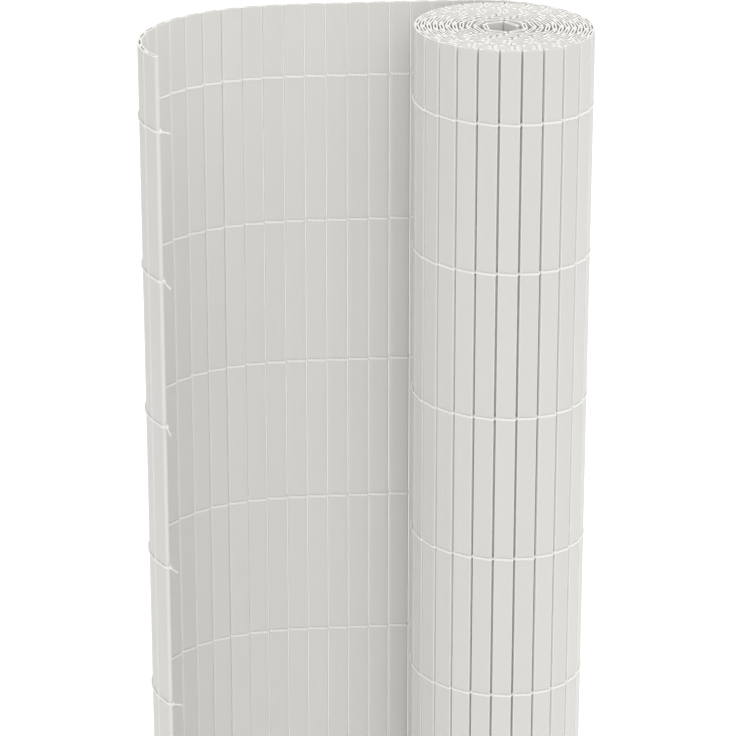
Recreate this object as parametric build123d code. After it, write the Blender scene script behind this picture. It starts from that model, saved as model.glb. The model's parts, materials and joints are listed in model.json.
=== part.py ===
"""PVC privacy screen: hollow slats woven together with cord, partly rolled up and standing on end."""
import math
import os

from build123d import *

# Slat section and length
SLAT_WIDTH = 13.7
SLAT_THICK = 3.2
SLAT_WALL = 0.6
SLAT_CHAMFER = 1.25
SLAT_GAP = 0.6
SCREEN_HEIGHT = 900.0

# How the screen lies: turns wound up, then a tail that lifts off the roll, runs straight and bends
ROLL_TURNS = 11.15
TAIL_SLATS = 25
TAIL_LIFT_SLATS = 5
TAIL_STRAIGHT_SLATS = 8
CORE_RADIUS = 10.2
LAYER_CLEARANCE = 0.12
ROLL_SQUASH = 0.05
SQUASH_ANGLE = -16.3
DEPART_ANGLE = 55.7
TAIL_HEADING = 191.3
TAIL_HINGE_FIRST = 2.4
TAIL_HINGE_LAST = 16.0

# Cords across the slats
CORD_ROWS = 9
CORD_FROM_TOP = 50.0
CORD_FROM_FOOT = 24.0
CORD_DEPTH = 0.8
CORD_HEIGHT = 1.4
KNOT_SIZE = 2.6
CUT_END_LENGTH = 8.0
CUT_END_DROP = 50.0

PITCH = SLAT_WIDTH + SLAT_GAP
ROW_SPACING = (SCREEN_HEIGHT - CORD_FROM_TOP - CORD_FROM_FOOT) / (CORD_ROWS - 1)
MARCH_STEP = 0.0004


def sagitta(radius):
    """Height of the arc over one slat's chord at this radius."""
    half = PITCH / 2
    return radius - math.sqrt(max(radius * radius - half * half, 0.0))


def squashed(radius, angle):
    """The spiral's radius at this angle: the roll is a little wider one way than the other."""
    return radius * (1 + ROLL_SQUASH * math.cos(2 * (angle - math.radians(SQUASH_ANGLE))))


def wind(start):
    """Centres of the gaps along the rolled slats, from the core at this angle outwards, about the axis."""
    radius = CORE_RADIUS
    angle = start
    last = start
    reach = squashed(radius, angle)
    joints = [(reach * math.cos(angle), reach * math.sin(angle))]
    while angle - start < ROLL_TURNS * 2 * math.pi:
        layer = SLAT_THICK + LAYER_CLEARANCE + sagitta(radius)
        radius += layer * MARCH_STEP / (2 * math.pi)
        angle += MARCH_STEP
        reach = squashed(radius, angle)
        x = reach * math.cos(angle)
        y = reach * math.sin(angle)
        if math.hypot(x - joints[-1][0], y - joints[-1][1]) >= PITCH:
            joints.append((x, y))
            last = angle
    return joints, last


def roll_joints():
    """The winding, its core turned until the last gap lies where the tail departs."""
    start = 0.0
    for _ in range(4):
        joints, end = wind(start)
        start += math.radians(DEPART_ANGLE) - end
    return joints


def heading_of(a, b):
    """Direction from one point to another, in radians."""
    return math.atan2(b[1] - a[1], b[0] - a[0])


def tail_joints(roll):
    """Centres of the gaps along the loose tail: it lifts off the roll, runs straight, then bends."""
    x, y = roll[-1]
    heading = heading_of(roll[-2], roll[-1])
    lift = math.remainder(math.radians(TAIL_HEADING) - heading, 2 * math.pi) / TAIL_LIFT_SLATS
    bend_from = TAIL_LIFT_SLATS - 1 + TAIL_STRAIGHT_SLATS
    rise = (TAIL_HINGE_LAST - TAIL_HINGE_FIRST) / (TAIL_SLATS - bend_from - 1)
    joints = []
    for i in range(TAIL_SLATS):
        if i < TAIL_LIFT_SLATS:
            heading += lift
        if i >= bend_from:
            heading += math.radians(TAIL_HINGE_FIRST + rise * (i - bend_from))
        x += PITCH * math.cos(heading)
        y += PITCH * math.sin(heading)
        joints.append((x, y))
    return joints


def offset_line(points, distance):
    """Mitred line beside a run of points, to the right of its travel; straight joints are left out."""
    line = []
    last = len(points) - 1
    for i, (x, y) in enumerate(points):
        before = points[max(i - 1, 0)]
        after = points[min(i + 1, last)]
        a = heading_of(before, (x, y)) if i else heading_of((x, y), after)
        b = heading_of((x, y), after) if i < last else a
        turn = math.remainder(b - a, 2 * math.pi)
        if 0 < i < last and abs(turn) < 1e-6:
            continue
        mid = a + turn / 2
        reach = distance / math.cos(turn / 2)
        line.append((x + reach * math.sin(mid), y - reach * math.cos(mid)))
    return line


def slat_section(ease):
    """Outline of a slat, its long edges cut back by this much; at half the thickness they are pointed."""
    side = SLAT_WIDTH / 2
    face = SLAT_THICK / 2
    if ease >= face:
        half = [(side - face, -face), (side, 0), (side - face, face)]
        return Polygon(*half, *[(-x, -y) for x, y in half], align=None)
    section = Rectangle(SLAT_WIDTH, SLAT_THICK)
    return chamfer(section.vertices(), ease) if ease else section


def slat_solid(ease):
    """One hollow slat, standing, its width along X and its foot at the ground."""
    end_wall = ease + SLAT_WALL / 2 if ease else SLAT_WALL
    cell = Rectangle(SLAT_WIDTH - 2 * end_wall, SLAT_THICK - 2 * SLAT_WALL)
    return extrude(slat_section(ease) - cell, SCREEN_HEIGHT)


def tight_bend(joints, i):
    """Whether the slat after this joint is turned so far that square edges would meet its neighbour."""
    limit = 2 * math.atan(SLAT_GAP / SLAT_THICK) * 0.98
    for k in (i, i + 1):
        if 0 < k < len(joints) - 1:
            turn = heading_of(joints[k], joints[k + 1]) - heading_of(joints[k - 1], joints[k])
            if abs(math.remainder(turn, 2 * math.pi)) > limit:
                return True
    return False


def place_slat(solid, a, b):
    """Stand a slat between two gap centres."""
    turn = math.degrees(heading_of(a, b))
    return Pos((a[0] + b[0]) / 2, (a[1] + b[1]) / 2, 0) * Rot(0, 0, turn) * solid


def cord_outline(points, inner_from, end):
    """Plan of one cord row: along the outer faces, round the free edge, back along the inner faces."""
    run = points[:-1] + [end]
    heading = heading_of(points[-2], end)
    past = (end[0] + CORD_DEPTH * math.cos(heading), end[1] + CORD_DEPTH * math.sin(heading))
    wide = points[:-1] + [past]
    face = SLAT_THICK / 2
    outside = offset_line(wide, face + CORD_DEPTH)
    outside += offset_line(wide[inner_from:], -face - CORD_DEPTH)[::-1]
    outside += offset_line(run[inner_from:], -face)
    outside += offset_line(run, face)[::-1]
    return outside


def cord_solid(points, inner_from, end):
    """One cord row at ground level, with its knot and cut end at the free edge."""
    plan = make_face(Polyline(*cord_outline(points, inner_from, end), close=True))
    band = Pos(0, 0, -CORD_HEIGHT / 2) * extrude(plan, CORD_HEIGHT)
    heading = math.degrees(heading_of(points[-2], end))
    knot = Pos(CORD_DEPTH / 2 + KNOT_SIZE / 2, 0, 0) * Box(KNOT_SIZE, KNOT_SIZE, KNOT_SIZE)
    stub = Pos(CUT_END_LENGTH / 2, 0, 0) * Box(CUT_END_LENGTH, CORD_DEPTH, CORD_DEPTH)
    stub = Pos(CORD_DEPTH / 2 + KNOT_SIZE / 2, 0, 0) * Rot(0, CUT_END_DROP, 0) * stub
    tie = Pos(end[0], end[1], 0) * Rot(0, 0, heading) * (knot + stub)
    return band + tie


def write(name, shapes):
    """Write one node from its solids."""
    solids = [shape.solid() for shape in shapes]
    node = Compound(solids) if len(solids) > 1 else solids[0]
    node.label = name
    export_step(node, os.path.join("parts", name + ".step"))


def main():
    os.makedirs("parts", exist_ok=True)
    joints = roll_joints()
    roll_slats = len(joints) - 1
    joints += tail_joints(joints)
    a, b = joints[-2], joints[-1]
    share = (PITCH - SLAT_GAP / 2) / PITCH
    end = (a[0] + (b[0] - a[0]) * share, a[1] + (b[1] - a[1]) * share)

    # Edges are eased where they show, pointed where the bend is tight, and plain between the turns
    plain = slat_solid(0)
    eased = slat_solid(SLAT_CHAMFER)
    pointed = slat_solid(SLAT_THICK / 2)
    count = roll_slats + TAIL_SLATS

    # Whole turns swept about the axis at each rolled gap; the open turn is the last one
    swept = [0.0]
    for p, q in zip(joints[:roll_slats], joints[1:]):
        step = math.atan2(q[1], q[0]) - math.atan2(p[1], p[0])
        swept.append(swept[-1] + step % (2 * math.pi) / (2 * math.pi))
    first_open = next(i for i, turns in enumerate(swept) if swept[-1] - turns < 1)

    # A cord shows from where the lifted slats have left the roll
    first_cord = first_open + TAIL_LIFT_SLATS + 1
    inner_from = roll_slats + TAIL_LIFT_SLATS - first_cord
    cord = cord_solid(joints[first_cord:], inner_from, end)

    slats = []
    for i in range(count):
        solid = pointed if tight_bend(joints, i) else plain
        if i >= first_open:
            solid = eased
        slats.append(place_slat(solid, joints[i], joints[i + 1]))

    # The frame: origin under the middle of the screen's bounding box
    boxes = [shape.bounding_box() for shape in [*slats[first_open:], cord]]
    middle_x = (min(b.min.X for b in boxes) + max(b.max.X for b in boxes)) / 2
    middle_y = (min(b.min.Y for b in boxes) + max(b.max.Y for b in boxes)) / 2
    shift = Pos(-middle_x, -middle_y, 0)
    slats = [shift * s for s in slats]

    # Rolled slats, one node for each turn from the core outwards
    turns = {}
    for i in range(roll_slats):
        turns.setdefault(int(swept[i]), []).append(slats[i])
    for k, group in turns.items():
        write(f"roll_turn_{k + 1:02d}", group)

    # Loose slats, one node each, from the roll to the free edge
    for i in range(TAIL_SLATS):
        write(f"tail_slat_{i + 1:02d}", [slats[roll_slats + i]])

    # Cord rows from the top down
    for k in range(CORD_ROWS):
        height = SCREEN_HEIGHT - CORD_FROM_TOP - k * ROW_SPACING
        write(f"cord_row_{k + 1}", [shift * Pos(0, 0, height) * cord])


main()
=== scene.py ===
"""Dresses the PVC privacy screen: hollow slats woven with cord, a standing roll and its loose tail."""

import json
import math

import bpy
import numpy as np
from bpy.props import FloatProperty, FloatVectorProperty, IntProperty, PointerProperty
from mathutils import Euler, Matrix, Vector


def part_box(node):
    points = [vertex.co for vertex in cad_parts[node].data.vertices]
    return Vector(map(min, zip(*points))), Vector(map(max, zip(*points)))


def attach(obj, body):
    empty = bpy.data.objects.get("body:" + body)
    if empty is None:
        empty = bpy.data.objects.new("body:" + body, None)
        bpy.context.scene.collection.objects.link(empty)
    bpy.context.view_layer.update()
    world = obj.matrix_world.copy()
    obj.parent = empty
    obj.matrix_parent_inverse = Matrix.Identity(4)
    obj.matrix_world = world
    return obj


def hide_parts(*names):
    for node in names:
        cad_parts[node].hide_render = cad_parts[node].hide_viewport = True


bl_info = {
    "name": "PVC privacy screen",
    "version": (1, 0, 0),
    "blender": (4, 5, 0),
    "location": "View3D > Sidebar > Screen",
    "description": "Makes the slats and woven cords of a partly rolled PVC privacy screen",
    "category": "Object",
}

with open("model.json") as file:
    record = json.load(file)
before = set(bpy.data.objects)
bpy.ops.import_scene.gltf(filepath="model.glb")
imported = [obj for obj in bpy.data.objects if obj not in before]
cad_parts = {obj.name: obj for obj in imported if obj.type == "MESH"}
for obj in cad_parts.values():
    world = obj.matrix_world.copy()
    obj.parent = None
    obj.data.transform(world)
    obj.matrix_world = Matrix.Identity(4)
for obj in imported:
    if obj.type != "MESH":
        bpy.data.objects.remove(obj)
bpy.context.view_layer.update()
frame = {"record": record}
NODES = [part["node"] for part in frame["record"]["subparts"]]
MM = 0.001

# The winding: its step of angle, turns enough for all slats, steps that cover a slat, passes to turn it
MARCH_STEP = 0.0004
MARCH_TURNS = 14
SLAT_STEPS = 6000
SETTLE_PASSES = 4

# Points on each corner of an outline, round a strand, along a knot and along a cut end
CORNER_POINTS = 4
STRAND_SIDES = 6
KNOT_POINTS = 37
CUT_POINTS = 9

# Shifts along the UV map, in metres, that give each slat, piece and row its own stretch of a texture
SLAT_SHIFT = 0.05
PIECE_SHIFT = 0.7
ROW_SHIFT = 0.37
TAIL_SEED = 40

# Cut ends: their turn off the free slat, splay and sag as shares of their length, and each row's slope
CUT_TURN = math.radians(58)
CUT_SPLAY = (0.05, -0.06)
CUT_SAG = 0.1
DROOP_MIDDLE = math.radians(35)
DROOP_SWING = math.radians(32)
DROOP_STEP = 1.5
DROOP_START = -1.2

# Sockets of a colour Mix node
MIX_FACTOR = 0
MIX_A = 6
MIX_B = 7
MIX_RESULT = 2

# Stage: half the floor's side, the world's strength, each softbox's place, aim, size and watts
FLOOR_REACH = 14.0
WORLD_STRENGTH = 0.63
SOFTBOXES = {
    "right_softbox": ((1.7, 0.1, 2.4), (0.05, 0, 0.7), 1.6, 7),
    "front_softbox": ((0.35, -2.9, 2.0), (0, 0, 0.5), 2.4, 22),
    "backdrop_light": ((0, 1.9, 2.4), (0, 1.7, 0), 3.0, 58),
}

# Camera, fitted to the photo: focal length in pixels, picture's width in pixels, place from the roll's axis
FOCAL_PIXELS = 3755.7
PICTURE_PIXELS = 736
SENSOR_MM = 36.0
CAMERA_FROM_AXIS = (0.17456, -2.35661)
CAMERA_HEIGHT = 1.62644
CAMERA_DOWN = math.radians(22.3)
CAMERA_TURN = math.radians(6.38)
CAMERA_FAR = 100


def linear(code):
    """sRGB hex colour as linear red, green and blue."""
    srgb = np.array([int(code[i:i + 2], 16) for i in (1, 3, 5)]) / 255.0
    return tuple(np.where(srgb <= 0.04045, srgb / 12.92, ((srgb + 0.055) / 1.055) ** 2.4))


class ScreenSizes(bpy.types.PropertyGroup):
    """Sizes of the slats, the winding and the cords."""

    slat_width: FloatProperty(
        name="Slat width", description="Width of one slat", default=13.7 * MM, unit="LENGTH")
    slat_thick: FloatProperty(
        name="Slat thickness", description="Thickness of one slat", default=3.2 * MM, unit="LENGTH")
    slat_wall: FloatProperty(
        name="Slat wall", description="Wall of the hollow slat", default=1.05 * MM, unit="LENGTH")
    slat_end: FloatProperty(
        name="Slat end wall", description="Wall at a slat's long edges", default=2.5 * MM, unit="LENGTH")
    slat_edge: FloatProperty(
        name="Slat edge", description="Radius of a slat's long edges between the turns", default=0.6 * MM,
        unit="LENGTH")
    slat_gap: FloatProperty(
        name="Slat gap", description="Gap between two slats", default=0.6 * MM, unit="LENGTH")
    core_turns: IntProperty(
        name="Core turns", description="Turns that bend tightly", default=4)
    core_width: FloatProperty(
        name="Core slat width", description="Width of a slat where the core bends tightly",
        default=13.1 * MM, unit="LENGTH")
    core_edge: FloatProperty(
        name="Core edge", description="Radius of a slat's long edges where the core bends tightly",
        default=1.45 * MM, unit="LENGTH")
    open_width: FloatProperty(
        name="Open turn slat width", description="Width of a slat where the bend opens the outer turn's gaps",
        default=12.95 * MM, unit="LENGTH")
    open_edge: FloatProperty(
        name="Open turn edge", description="Rounding of a slat's edges on the outer turn", default=0.35 * MM,
        unit="LENGTH")
    tail_width: FloatProperty(
        name="Tail slat width", description="Width of a loose slat, its gap drawn in", default=14.0 * MM,
        unit="LENGTH")
    tail_edge: FloatProperty(
        name="Tail edge", description="Rounding of a loose slat's edges", default=1.35 * MM, unit="LENGTH")
    height: FloatProperty(
        name="Height", description="Height of the screen", default=900 * MM, unit="LENGTH")
    roll_slats: IntProperty(
        name="Rolled slats", description="Slats wound up in the roll", default=171)
    tail_slats: IntProperty(
        name="Tail slats", description="Slats in the loose tail", default=25)
    lift_slats: IntProperty(
        name="Lifting slats", description="Slats over which the tail lifts off the roll", default=5)
    straight_slats: IntProperty(
        name="Straight slats", description="Slats in the tail's straight run", default=8)
    core_radius: FloatProperty(
        name="Core radius", description="Radius where the winding starts", default=10.2 * MM, unit="LENGTH")
    layer_clearance: FloatProperty(
        name="Layer clearance", description="Room for the cords between turns", default=0.12 * MM,
        unit="LENGTH")
    squash: FloatProperty(
        name="Squash", description="How far the roll is from round, as a share of its radius", default=0.05)
    squash_angle: FloatProperty(
        name="Squash angle", description="Direction of the roll's wider way", default=math.radians(-16.3),
        subtype="ANGLE")
    depart_angle: FloatProperty(
        name="Departure", description="Where the tail leaves the roll", default=math.radians(55.7),
        subtype="ANGLE")
    tail_heading: FloatProperty(
        name="Tail heading", description="Direction of the tail's straight run",
        default=math.radians(191.3), subtype="ANGLE")
    hinge_first: FloatProperty(
        name="First bend", description="Turn at the bend's first gap", default=math.radians(2.4),
        subtype="ANGLE")
    hinge_last: FloatProperty(
        name="Last bend", description="Turn at the bend's last gap", default=math.radians(16.0),
        subtype="ANGLE")
    cord_rows: IntProperty(
        name="Cord rows", description="Rows of cord over the height", default=9)
    cord_top: FloatProperty(
        name="First row", description="First row below the top", default=50 * MM, unit="LENGTH")
    cord_foot: FloatProperty(
        name="Last row", description="Last row above the foot", default=24 * MM, unit="LENGTH")
    cord_depth: FloatProperty(
        name="Strand depth", description="How far a strand stands off a slat", default=1.0 * MM,
        unit="LENGTH")
    cord_height: FloatProperty(
        name="Strand height", description="Height of a strand on a slat", default=1.8 * MM, unit="LENGTH")
    cord_squeezed: FloatProperty(
        name="Squeezed depth", description="Depth of a strand pressed between turns", default=0.2 * MM,
        unit="LENGTH")
    cord_sway: FloatProperty(
        name="Strand slope", description="How far a strand is off its row's height at a slat's edge",
        default=0.38 * MM, unit="LENGTH")
    knot_reach: FloatProperty(
        name="Knot reach", description="Distance of the knot's middle past the free edge", default=1.7 * MM,
        unit="LENGTH")
    knot_size: FloatProperty(
        name="Knot size", description="Size of the knot at the free edge", default=2.6 * MM, unit="LENGTH")
    cut_radius: FloatProperty(
        name="Cut end radius", description="Radius of the strand in the knot and the cut ends",
        default=0.42 * MM, unit="LENGTH")
    cut_end: FloatProperty(
        name="Cut end", description="Length of the cut strand ends past the knot", default=6.5 * MM,
        unit="LENGTH")


class ScreenFinish(bpy.types.PropertyGroup):
    """Colours of the screen and its stage, and how strong the painted highlight along the slats' edges is."""

    pvc: FloatVectorProperty(
        name="PVC", description="Colour of the slats", default=linear("#e5e3df"), subtype="COLOR")
    pvc_streak: FloatVectorProperty(
        name="PVC streaks", description="Colour of the faint lines along a slat",
        default=linear("#e0deda"), subtype="COLOR")
    # A painted highlight: the paler colour put along a slat's rounded long edges, where they would catch the
    # light
    pvc_edge_highlight: FloatVectorProperty(
        name="PVC edges", description="Colour along a slat's long edges", default=linear("#f6f5f2"),
        subtype="COLOR")
    pvc_end: FloatVectorProperty(
        name="PVC ends", description="Colour of the slats' sawn ends", default=linear("#d9d7d3"),
        subtype="COLOR")
    # Strength of the painted edge highlight on the rolled slats, the straight tail and the bent tail; the
    # slats over which it grows in the bend; and where across a slat it starts and is full
    roll_edge_highlight: FloatProperty(
        name="Roll edge paleness", description="How far the rolled slats' edges take their own colour",
        default=0.8)
    tail_edge_highlight: FloatProperty(
        name="Tail edge paleness", description="How far the straight tail's edges take their own colour",
        default=0.3)
    bend_edge_highlight: FloatProperty(
        name="Bend edge paleness", description="How far the bent tail's edges take their own colour",
        default=0.75)
    bend_run: IntProperty(
        name="Bend run", description="Slats over which the bend's edges grow paler", default=6)
    roll_highlight_from: FloatProperty(
        name="Roll edge start", description="Where a rolled slat's pale edge starts, in half widths",
        default=0.88)
    tail_highlight_from: FloatProperty(
        name="Tail edge start", description="Where a loose slat's pale edge starts, in half widths",
        default=0.78)
    edge_highlight_full: FloatProperty(
        name="Full edge", description="Where a slat's pale edge is full, in half widths", default=0.96)
    cord: FloatVectorProperty(
        name="Cord", description="Colour of the cord", default=linear("#ffffff"), subtype="COLOR")
    # Painted shade: the darker colour put in the grooves between the cord's plies
    cord_groove_shade: FloatVectorProperty(
        name="Cord grooves", description="Colour between the cord's plies", default=linear("#f3f1ec"),
        subtype="COLOR")
    floor: FloatVectorProperty(
        name="Floor", description="Colour of the floor", default=linear("#fbfbfa"), subtype="COLOR")


def wound_gaps(s, pitch):
    """Centres of the gaps in the roll about its axis, from the core outwards.

    The winding is a spiral whose radius grows each turn by a slat's thickness, the clearance and the
    height of the arc over a slat's chord, times 1 + squash cos 2 (angle - squash angle). Gaps lie on it
    one pitch apart, and the core is turned until the last one lies where the tail departs.
    """
    radius = [s.core_radius]
    while len(radius) < 2 * math.pi * MARCH_TURNS / MARCH_STEP:
        here = radius[-1]
        arc = here - math.sqrt(max(here * here - pitch * pitch / 4, 0.0))
        layer = s.slat_thick + s.layer_clearance + arc
        radius.append(here + layer * MARCH_STEP / (2 * math.pi))
    radius = np.array(radius)
    start = 0.0
    for _ in range(SETTLE_PASSES):
        angle = start + MARCH_STEP * np.arange(len(radius))
        reach = radius * (1 + s.squash * np.cos(2 * (angle - s.squash_angle)))
        line = reach[:, None] * np.stack([np.cos(angle), np.sin(angle)], 1)
        gaps = [0]
        for _ in range(s.roll_slats):
            ahead = line[gaps[-1]:gaps[-1] + SLAT_STEPS] - line[gaps[-1]]
            gaps.append(gaps[-1] + int(np.argmax(np.hypot(*ahead.T) >= pitch)))
        start += s.depart_angle - angle[gaps[-1]]
    return line[gaps]


def joint_line(s):
    """Centres of the gaps, from the core outwards and along the tail, in the part's frame; and the axis.

    From the roll's last slat the tail turns evenly to its heading, goes straight on, and then turns at
    each gap by an angle that rises evenly to the free edge.
    """
    pitch = s.slat_width + s.slat_gap
    roll = wound_gaps(s, pitch)
    last = math.atan2(*(roll[-1] - roll[-2])[::-1])
    i = np.arange(s.tail_slats)
    lift = math.remainder(s.tail_heading - last, 2 * math.pi) / s.lift_slats
    k = i - (s.lift_slats - 1 + s.straight_slats)
    rise = (s.hinge_last - s.hinge_first) / k[-1]
    bend = np.cumsum(np.where(k >= 0, s.hinge_first + rise * k, 0.0))
    heading = last + lift * np.minimum(i + 1, s.lift_slats) + bend
    tail = roll[-1] + np.cumsum(pitch * np.stack([np.cos(heading), np.sin(heading)], 1), 0)
    joints = np.concatenate([roll, tail])

    # The part's frame has its origin under the box's middle: the fifth loose slat's box gives the shift
    low, high = (np.array(corner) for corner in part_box("tail_slat_05"))
    fifth = s.roll_slats + 4
    axis = (low + high)[:2] / 2 - joints[fifth:fifth + 2].mean(0)
    return joints + axis, axis


def turns_swept(joints, axis, s):
    """Whole circles swept about the axis up to each gap of the roll."""
    angle = np.arctan2(*(joints[:s.roll_slats + 1] - axis).T[::-1])
    return np.concatenate([[0.0], np.cumsum(np.mod(np.diff(angle), 2 * math.pi)) / (2 * math.pi)])


def rounded_outline(width, thick, radius):
    """Round a rectangle's corners: corner centre plus radius times (cos t, sin t), anticlockwise."""
    t = np.linspace(0, math.pi / 2, CORNER_POINTS)
    quarter = np.arange(4)[:, None] * math.pi / 2 + t[None]
    sign = np.array([(1, 1), (-1, 1), (-1, -1), (1, -1)])
    centre = sign * np.array([width / 2 - radius, thick / 2 - radius])
    points = centre[:, None] + radius * np.stack([np.cos(quarter), np.sin(quarter)], 2)
    return points.reshape(-1, 2)


def tube_quads(stations, places):
    """Quads of a tube: station i and place j to i+1 and j+1, places wrapping round."""
    i, j = np.meshgrid(np.arange(stations - 1), np.arange(places), indexing="ij")
    after = (j + 1) % places
    quad = [i * places + j, i * places + after, (i + 1) * places + after, (i + 1) * places + j]
    return np.stack(quad, 2).reshape(-1, 4)


def slat_surfaces(a, b, s, width, edge, pale, pale_from, seed):
    """Hollow slats between gap centres a and b, with their UVs and the marks that the material reads.

    Each slat is its rounded outline carried straight up, its cell's outline carried up inside with the
    faces turned round, and flat rings that join the two outlines at the foot and the top.
    """
    n = len(a)
    along = (b - a) / np.linalg.norm(b - a, axis=1, keepdims=True)
    square = np.stack([-along[:, 1], along[:, 0]], 1)
    outer = rounded_outline(width, s.slat_thick, edge)
    inner = rounded_outline(s.slat_width - 2 * s.slat_end, s.slat_thick - 2 * s.slat_wall, s.slat_wall / 2)
    m = len(outer)
    rings = np.stack([outer, outer, inner, inner])
    z = np.array([0.0, s.height, s.height, 0.0])
    plan = ((a + b) / 2)[:, None, None] + rings[None, :, :, :1] * along[:, None, None] \
        + rings[None, :, :, 1:] * square[:, None, None]
    up = np.broadcast_to(z[None, :, None, None], (n, 4, m, 1))
    points = np.concatenate([plan, up], 3).reshape(-1, 3)

    # Wall, top ring, cell and foot ring are the four bands between the four outlines
    quads = tube_quads(5, m)
    quads = np.where(quads >= 4 * m, quads - 4 * m, quads)
    quads = (quads[None] + (np.arange(n) * 4 * m)[:, None, None]).reshape(-1, 4)

    # UV: across the slat and up it, in metres, each slat moved along so its lines are its own
    place = rings[None, :, :, 0] + SLAT_SHIFT * np.arange(n)[:, None, None] + PIECE_SHIFT * seed
    uv = np.stack([place, np.broadcast_to(z[None, :, None], (n, 4, m))], 3).reshape(-1, 2)

    # Marks: the slat's own tone, the place across it in half widths, and how strong the painted edge
    # highlight is and from where
    tone = np.random.default_rng(seed).random(n)
    across = np.broadcast_to(rings[None, :, :, 0] / (width / 2), (n, 4, m)).ravel()
    marks = {"tone": np.repeat(tone, 4 * m), "across": across,
             "pale": np.full(len(points), pale), "pale_from": np.full(len(points), pale_from)}
    return points, quads, uv, marks


def tube_surface(path, half_wide, half_high):
    """A closed strand: point + half_wide cos t sideways + half_high sin t upwards, across the path.

    Sideways is level and square to the path, and upwards is square to both.
    """
    forward = np.gradient(path, axis=0)
    forward /= np.linalg.norm(forward, axis=1, keepdims=True)
    side = np.cross(forward, np.array([0.0, 0.0, 1.0]))
    side /= np.maximum(np.linalg.norm(side, axis=1, keepdims=True), 1e-9)
    up = np.cross(side, forward)
    t = np.arange(STRAND_SIDES) * 2 * math.pi / STRAND_SIDES
    ring = half_wide[:, None, None] * np.cos(t)[None, :, None] * side[:, None] \
        + half_high[:, None, None] * np.sin(t)[None, :, None] * up[:, None]
    points = (path[:, None] + ring).reshape(-1, 3)
    quads = tube_quads(len(path), STRAND_SIDES)

    # Two quads close the six sides at each end
    cap = np.array([(0, 5, 4, 3), (3, 2, 1, 0), (0, 1, 2, 3), (3, 4, 5, 0)])
    cap[2:] += (len(path) - 1) * STRAND_SIDES
    gone = np.concatenate([[0.0], np.cumsum(np.linalg.norm(np.diff(path, axis=0), axis=1))])
    uv = np.stack(np.broadcast_arrays(t[None] / (2 * math.pi), gone[:, None]), 2).reshape(-1, 2)
    return points, np.concatenate([quads, cap]), uv


def strand_path(joints, s, first_side, shown_out, shown_in):
    """One strand of a row: over one slat, through the gap, under the next.

    At place q along slat i it stands off the slat's middle by side times the reach, which climbs from
    nothing in the gap to half the slat and half the strand on the face. It falls evenly with q across an
    outer face and rises across an inner one, so the two strands pass over each other in each gap.
    """
    n = len(joints) - 1
    q = np.array([0.0, 0.045, 0.085, 0.14, 0.5, 0.86, 0.915, 0.955])
    climb = np.array([0.0, 0.62, 0.9, 1.0, 1.0, 1.0, 0.9, 0.62])
    side = first_side * np.where(np.arange(n) % 2 == 0, 1.0, -1.0)
    shown = np.where(side > 0, shown_out, shown_in)
    depth = np.where(shown, s.cord_depth, s.cord_squeezed)
    along = np.diff(joints, axis=0)
    heading = along / np.linalg.norm(along, axis=1, keepdims=True)
    out = np.stack([heading[:, 1], -heading[:, 0]], 1)
    reach = side[:, None] * climb[None] * (s.slat_thick / 2 + depth[:, None] / 2)
    plan = joints[:-1, None] + along[:, None] * q[None, :, None] + out[:, None] * reach[..., None]
    sway = s.cord_sway * side[:, None] * (1 - 2 * q[None])
    path = np.concatenate([plan, sway[..., None]], 2).reshape(-1, 3)
    half_wide = np.repeat(depth / 2, len(q))
    return path, half_wide, np.full(len(path), s.cord_height / 2)


def knot_path(centre, size):
    """An overhand knot drawn tight: the trefoil (sin t + 2 sin 2t, cos t - 2 cos 2t, -1.6 sin 3t) over 6."""
    t = np.linspace(0, 2 * math.pi, KNOT_POINTS)
    x = np.sin(t) + 2 * np.sin(2 * t)
    y = np.cos(t) - 2 * np.cos(2 * t)
    z = -1.6 * np.sin(3 * t)
    return centre + np.stack([x, y, z], 1) * size / 6


def cut_path(start, heading, s, splay, droop):
    """A cut end: turns inwards off the heading, falls at the droop's slope and more as t squared."""
    t = np.linspace(0, 1, CUT_POINTS)[:, None]
    out = np.array([heading[0] * math.cos(CUT_TURN) - heading[1] * math.sin(CUT_TURN),
                    heading[0] * math.sin(CUT_TURN) + heading[1] * math.cos(CUT_TURN)])
    aside = np.array([-out[1], out[0]])
    level = start[:2] + s.cut_end * (math.cos(droop) * t * out + splay * t ** 2 * aside)
    drop = start[2] - s.cut_end * (math.sin(droop) * t + CUT_SAG * t ** 2)
    return np.concatenate([level, drop], 1)


def thin_strand(path, s):
    """A strand as thin as a cut end along a path."""
    radius = np.full(len(path), s.cut_radius)
    return path, radius, radius


def row_strands(joints, axis, s):
    """A row's two woven strands and its knot past the free edge, the knot's place and the edge's heading."""
    swept = turns_swept(joints, axis, s)
    slats = np.arange(len(joints) - 1)
    shown_out = slats >= np.argmax(swept[-1] - swept < 1) + s.lift_slats + 1
    shown_in = slats >= s.roll_slats + s.lift_slats
    heading = joints[-1] - joints[-2]
    heading = heading / np.linalg.norm(heading)
    edge = joints[-1] - heading * s.slat_gap / 2
    knot = np.array([*(edge + heading * s.knot_reach), 0.0])
    strands = []
    for first_side in (1, -1):
        path, wide, high = strand_path(joints, s, first_side, shown_out, shown_in)
        strands.append((np.concatenate([path, knot[None]]), np.append(wide, s.cord_depth / 2),
                        np.append(high, s.cord_height / 2)))
    strands.append(thin_strand(knot_path(knot, s.knot_size), s))
    return strands, knot, heading


def add_node(tree, kind, settings=None, inputs=None):
    """Add a node, set its attributes, and give its inputs values or other nodes' outputs."""
    node = tree.nodes.new(kind)
    for name, value in (settings or {}).items():
        setattr(node, name, value)
    for key, term in (inputs or {}).items():
        if isinstance(term, bpy.types.NodeSocket):
            tree.links.new(term, node.inputs[key])
        else:
            node.inputs[key].default_value = term
    return node


def math_node(tree, operation, *terms):
    """The result of a Math node on values or other nodes' outputs."""
    return add_node(tree, "ShaderNodeMath", {"operation": operation}, dict(enumerate(terms))).outputs[0]


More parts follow.
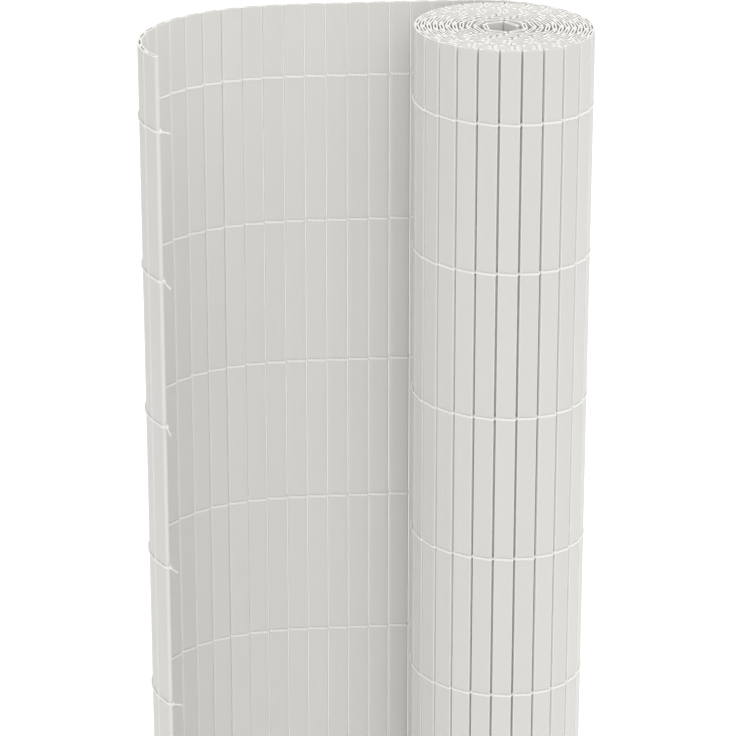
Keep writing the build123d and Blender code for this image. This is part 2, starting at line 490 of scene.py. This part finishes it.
def mix_colours(tree, factor, first, second):
    """From the first colour to the second with the factor."""
    terms = {MIX_FACTOR: factor, MIX_A: first, MIX_B: second}
    return add_node(tree, "ShaderNodeMix", {"data_type": "RGBA"}, terms).outputs[MIX_RESULT]


def mark(tree, name):
    """The value of a mark on a mesh's points."""
    return add_node(tree, "ShaderNodeAttribute", {"attribute_name": name}).outputs["Fac"]


def new_material(name):
    """A new node material, its tree and its shader."""
    material = bpy.data.materials.new(name)
    material.use_nodes = True
    tree = material.node_tree
    return material, tree, tree.nodes["Principled BSDF"]


def extruded_pvc(finish):
    """White rigid PVC, extruded: satin, faint die lines along the slat, a painted highlight along the rounded
    edges and duller sawn ends.
    """
    material, tree, shader = new_material("pvc_white_extruded_satin")
    line_pitch = 0.6 * MM
    line_run = 400 * MM
    cloud_size = 60 * MM
    tone_share = 0.55
    cloud_share = 0.6
    darkest, lightest = 0.55, 1.7
    uv = add_node(tree, "ShaderNodeUVMap", {"uv_map": "across_up"})
    lines = add_node(tree, "ShaderNodeMapping", None,
                     {"Scale": (1 / line_pitch, 1 / line_run, 1), "Vector": uv.outputs[0]})
    streak = add_node(tree, "ShaderNodeTexNoise", None,
                      {"Scale": 1.0, "Detail": 2.0, "Vector": lines.outputs[0]})
    where = add_node(tree, "ShaderNodeTexCoord")
    cloud = add_node(tree, "ShaderNodeTexNoise", None,
                     {"Scale": 1 / cloud_size, "Detail": 3.0, "Vector": where.outputs["Object"]})

    # The die lines, a part of each slat's own tone and a part of the cloud make the colour
    blend = math_node(tree, "MULTIPLY_ADD", mark(tree, "tone"), tone_share, streak.outputs["Fac"])
    blend = math_node(tree, "MULTIPLY_ADD", cloud.outputs["Fac"], cloud_share, blend)
    span = add_node(tree, "ShaderNodeMapRange", None,
                    {"From Min": darkest, "From Max": lightest, "Value": blend})
    colour = mix_colours(tree, span.outputs[0], (*finish.pvc_streak, 1), (*finish.pvc, 1))

    # An upright face gets a painted highlight along its rounded edges, as far as its marks say, and the level
    # sawn ends are duller
    geometry = add_node(tree, "ShaderNodeNewGeometry")
    facing = add_node(tree, "ShaderNodeSeparateXYZ", None, {0: geometry.outputs["Normal"]})
    level = math_node(tree, "ABSOLUTE", facing.outputs["Z"])
    reach = math_node(tree, "ABSOLUTE", mark(tree, "across"))
    edge = add_node(tree, "ShaderNodeMapRange", {"interpolation_type": "SMOOTHSTEP"},
                    {"From Min": mark(tree, "pale_from"), "From Max": finish.edge_highlight_full, "Value": reach})
    edge = math_node(tree, "MULTIPLY", edge.outputs[0], mark(tree, "pale"))
    edge = math_node(tree, "MULTIPLY", edge, math_node(tree, "SUBTRACT", 1.0, level))
    # Mix the painted edge highlight into the colour
    colour = mix_colours(tree, edge, colour, (*finish.pvc_edge_highlight, 1))
    colour = mix_colours(tree, level, colour, (*finish.pvc_end, 1))

    bump = add_node(tree, "ShaderNodeBump", None,
                    {"Strength": 0.12, "Distance": 0.05 * MM, "Height": streak.outputs["Fac"]})
    rough = add_node(tree, "ShaderNodeMapRange", None,
                     {"To Min": 0.42, "To Max": 0.52, "Value": cloud.outputs["Fac"]})
    tree.links.new(colour, shader.inputs["Base Color"])
    tree.links.new(rough.outputs[0], shader.inputs["Roughness"])
    tree.links.new(bump.outputs[0], shader.inputs["Normal"])
    shader.inputs["IOR"].default_value = 1.53
    return material


def twisted_cord(finish):
    """White twisted polyester twine: matt, its plies laid as slanting ridges along the strand, with painted
    shade in the grooves between them.
    """
    material, tree, shader = new_material("polyester_twine_white_twisted")
    ply_length = 1.6 * MM
    plies_round = 2.0
    uv = add_node(tree, "ShaderNodeUVMap", {"uv_map": "across_up"})
    lay = add_node(tree, "ShaderNodeMapping", None,
                   {"Scale": (plies_round, 1 / ply_length, 1), "Vector": uv.outputs[0]})
    ply = add_node(tree, "ShaderNodeTexWave", {"wave_type": "BANDS", "bands_direction": "DIAGONAL"},
                   {"Scale": 0.45, "Distortion": 0.6, "Vector": lay.outputs[0]})
    # Painted shade in the grooves between the plies
    colour = mix_colours(tree, ply.outputs["Fac"], (*finish.cord_groove_shade, 1), (*finish.cord, 1))
    bump = add_node(tree, "ShaderNodeBump", None,
                    {"Strength": 0.25, "Distance": 0.15 * MM, "Height": ply.outputs["Fac"]})
    tree.links.new(colour, shader.inputs["Base Color"])
    tree.links.new(bump.outputs[0], shader.inputs["Normal"])
    shader.inputs["Roughness"].default_value = 0.75
    shader.inputs["Sheen Weight"].default_value = 0.15
    return material


def studio_floor(finish):
    """Pale painted studio floor: matt, with a faint grain."""
    material, tree, shader = new_material("studio_floor_painted_matt")
    grain_size = 40 * MM
    where = add_node(tree, "ShaderNodeTexCoord")
    grain = add_node(tree, "ShaderNodeTexNoise", None,
                     {"Scale": 1 / grain_size, "Vector": where.outputs["Object"]})
    rough = add_node(tree, "ShaderNodeMapRange", None,
                     {"To Min": 0.85, "To Max": 0.95, "Value": grain.outputs["Fac"]})
    tree.links.new(rough.outputs[0], shader.inputs["Roughness"])
    shader.inputs["Base Color"].default_value = (*finish.floor, 1)
    return material


def material_once(name, maker, finish):
    """The named material, made the first time it is asked for."""
    return bpy.data.materials.get(name) or maker(finish)


def make_piece(name, points, quads, uv, marks, material):
    """Put arrays of points, quads, their UVs and the points' marks into a mesh object at the origin."""
    mesh = bpy.data.meshes.new(name)
    mesh.from_pydata(points.tolist(), [], quads.tolist())
    mesh.update()
    layer = mesh.uv_layers.new(name="across_up")
    layer.data.foreach_set("uv", uv[quads.ravel()].astype(np.float32).ravel())
    for title, values in marks.items():
        mesh.attributes.new(title, "FLOAT", "POINT").data.foreach_set("value", values.astype(np.float32))
    mesh.materials.append(material)
    piece = bpy.data.objects.new(name, mesh)
    bpy.context.scene.collection.objects.link(piece)
    return piece


def dress(piece, slot, *nodes):
    """Let a piece ride on the part and stand for its CAD nodes."""
    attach(piece, "root")
    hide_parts(*nodes)


def add_floor(scene):
    """Lay the floor under the part."""
    mesh = bpy.data.meshes.new("studio_floor")
    corner = np.array([(-1, -1, 0), (1, -1, 0), (1, 1, 0), (-1, 1, 0)]) * FLOOR_REACH
    mesh.from_pydata(corner.tolist(), [], [(0, 1, 2, 3)])
    mesh.materials.append(studio_floor(scene.screen_finish))
    floor = bpy.data.objects.new("studio_floor", mesh)
    scene.collection.objects.link(floor)


def add_world(scene):
    """Light the scene evenly from all round."""
    world = bpy.data.worlds.new("studio_light")
    world.use_nodes = True
    back = world.node_tree.nodes["Background"]
    back.inputs["Color"].default_value = (1, 1, 1, 1)
    back.inputs["Strength"].default_value = WORLD_STRENGTH
    scene.world = world


def add_softbox(scene, name, place, aim, size, power):
    """Hang a square light that shines from its place towards its aim and isn't seen itself."""
    lamp = bpy.data.lights.new(name, "AREA")
    lamp.shape = "SQUARE"
    lamp.size = size
    lamp.energy = power
    light = bpy.data.objects.new(name, lamp)
    light.location = place
    light.visible_camera = False
    x, y, z = np.array(aim) - np.array(place)
    light.rotation_euler = (math.atan2(math.hypot(x, y), -z), 0, math.atan2(-x, y))
    scene.collection.objects.link(light)


def add_camera(scene, axis):
    """Set a long lens above and to the right of the roll, tipped down."""
    lens = bpy.data.cameras.new("view")
    lens.sensor_fit = "HORIZONTAL"
    lens.sensor_width = SENSOR_MM
    lens.lens = SENSOR_MM * FOCAL_PIXELS / PICTURE_PIXELS
    lens.clip_end = CAMERA_FAR
    camera = bpy.data.objects.new("view", lens)
    camera.location = (*(axis + CAMERA_FROM_AXIS), CAMERA_HEIGHT)
    camera.rotation_euler = Euler((math.pi / 2 - CAMERA_DOWN, 0, CAMERA_TURN))
    scene.collection.objects.link(camera)
    scene.camera = camera


class SCREEN_OT_rolled_slats(bpy.types.Operator):
    """Make the wound slats, one piece for each turn of the roll."""

    bl_idname = "screen.rolled_slats"
    bl_label = "Make rolled slats"

    def execute(self, context):
        s = context.scene.screen_sizes
        finish = context.scene.screen_finish
        pvc = material_once("pvc_white_extruded_satin", extruded_pvc, finish)
        joints, axis = joint_line(s)
        swept = turns_swept(joints, axis, s)
        turns = swept[:-1].astype(int)
        for k in range(turns.max() + 1):
            node = f"roll_turn_{k + 1:02d}"
            if node not in NODES:
                raise RuntimeError(f"no CAD node {node}")
            width, edge = s.slat_width, s.slat_edge
            if k < s.core_turns:
                width, edge = s.core_width, s.core_edge
            elif k >= int(swept[-1] - 1):
                width, edge = s.open_width, s.open_edge
            index = np.flatnonzero(turns == k)
            # Each turn's slats carry the rolled slats' painted edge highlight
            parts = slat_surfaces(joints[index], joints[index + 1], s, width, edge,
                                  finish.roll_edge_highlight, finish.roll_highlight_from, k)
            dress(make_piece(f"turn_{k + 1:02d}_slats", *parts, pvc), "pvc", node)
        return {"FINISHED"}


class SCREEN_OT_tail_slats(bpy.types.Operator):
    """Make the loose slats, one piece each from the roll to the free edge."""

    bl_idname = "screen.tail_slats"
    bl_label = "Make tail slats"

    def execute(self, context):
        s = context.scene.screen_sizes
        finish = context.scene.screen_finish
        pvc = material_once("pvc_white_extruded_satin", extruded_pvc, finish)
        joints, _ = joint_line(s)

        # The painted edge highlight grows over the bend's first slats, and the free slat has as little as the
        # straight run
        straight = s.lift_slats + s.straight_slats
        pale = np.interp(np.arange(s.tail_slats), (straight, straight + finish.bend_run),
                         (finish.tail_edge_highlight, finish.bend_edge_highlight))
        pale[-1] = finish.tail_edge_highlight
        for k in range(s.tail_slats):
            i = s.roll_slats + k
            parts = slat_surfaces(joints[i:i + 1], joints[i + 1:i + 2], s, s.tail_width, s.tail_edge,
                                  pale[k], finish.tail_highlight_from, TAIL_SEED + k)
            dress(make_piece(f"loose_slat_{k + 1:02d}", *parts, pvc), "pvc", f"tail_slat_{k + 1:02d}")
        return {"FINISHED"}


class SCREEN_OT_cord_rows(bpy.types.Operator):
    """Weave the rows of twine: two strands to a row, knotted and cut at the free edge."""

    bl_idname = "screen.cord_rows"
    bl_label = "Weave cord rows"

    def execute(self, context):
        s = context.scene.screen_sizes
        twine = material_once("polyester_twine_white_twisted", twisted_cord, context.scene.screen_finish)
        strands, knot, heading = row_strands(*joint_line(s), s)
        spacing = (s.height - s.cord_top - s.cord_foot) / (s.cord_rows - 1)
        for k in range(s.cord_rows):
            # Each row's cut ends stick out at their own slope, from level to steep
            droop = DROOP_MIDDLE + DROOP_SWING * math.sin(DROOP_STEP * k + DROOP_START)
            ends = [thin_strand(cut_path(knot, heading, s, splay, droop), s) for splay in CUT_SPLAY]
            points, quads, uv = zip(*(tube_surface(*strand) for strand in strands + ends))
            start = np.cumsum([0] + [len(p) for p in points[:-1]])
            quads = np.concatenate([q + first for q, first in zip(quads, start)])
            lift = np.array([0.0, 0.0, s.height - s.cord_top - k * spacing])
            piece = make_piece(f"twine_row_{k + 1}", np.concatenate(points) + lift, quads,
                               np.concatenate(uv) + (0.0, ROW_SHIFT * k), {}, twine)
            dress(piece, "cord", f"cord_row_{k + 1}")
        return {"FINISHED"}


class SCREEN_OT_stage(bpy.types.Operator):
    """Set the pale floor, the soft light and the camera."""

    bl_idname = "screen.stage"
    bl_label = "Set the stage"

    def execute(self, context):
        scene = context.scene
        scene.view_settings.view_transform = "Standard"
        add_floor(scene)
        add_world(scene)
        for name, softbox in SOFTBOXES.items():
            add_softbox(scene, name, *softbox)
        _, axis = joint_line(scene.screen_sizes)
        add_camera(scene, axis)
        return {"FINISHED"}


class SCREEN_PT_panel(bpy.types.Panel):
    """Lists the screen's sizes, colours and makers."""

    bl_idname = "SCREEN_PT_panel"
    bl_label = "PVC privacy screen"
    bl_space_type = "VIEW_3D"
    bl_region_type = "UI"
    bl_category = "Screen"

    def draw(self, context):
        for group in (context.scene.screen_sizes, context.scene.screen_finish):
            for name in group.__annotations__:
                self.layout.prop(group, name)
        for maker in MAKERS:
            self.layout.operator(maker.bl_idname)


MAKERS = (SCREEN_OT_rolled_slats, SCREEN_OT_tail_slats, SCREEN_OT_cord_rows, SCREEN_OT_stage)
CLASSES = (ScreenSizes, ScreenFinish, *MAKERS, SCREEN_PT_panel)


def register():
    for cls in CLASSES:
        bpy.utils.register_class(cls)
    bpy.types.Scene.screen_sizes = PointerProperty(type=ScreenSizes)
    bpy.types.Scene.screen_finish = PointerProperty(type=ScreenFinish)


def unregister():
    del bpy.types.Scene.screen_finish
    del bpy.types.Scene.screen_sizes
    for cls in reversed(CLASSES):
        bpy.utils.unregister_class(cls)


def main():
    register()
    bpy.ops.screen.rolled_slats()
    bpy.ops.screen.tail_slats()
    bpy.ops.screen.cord_rows()
    bpy.ops.screen.stage()


if __name__ == "__main__":
    main()
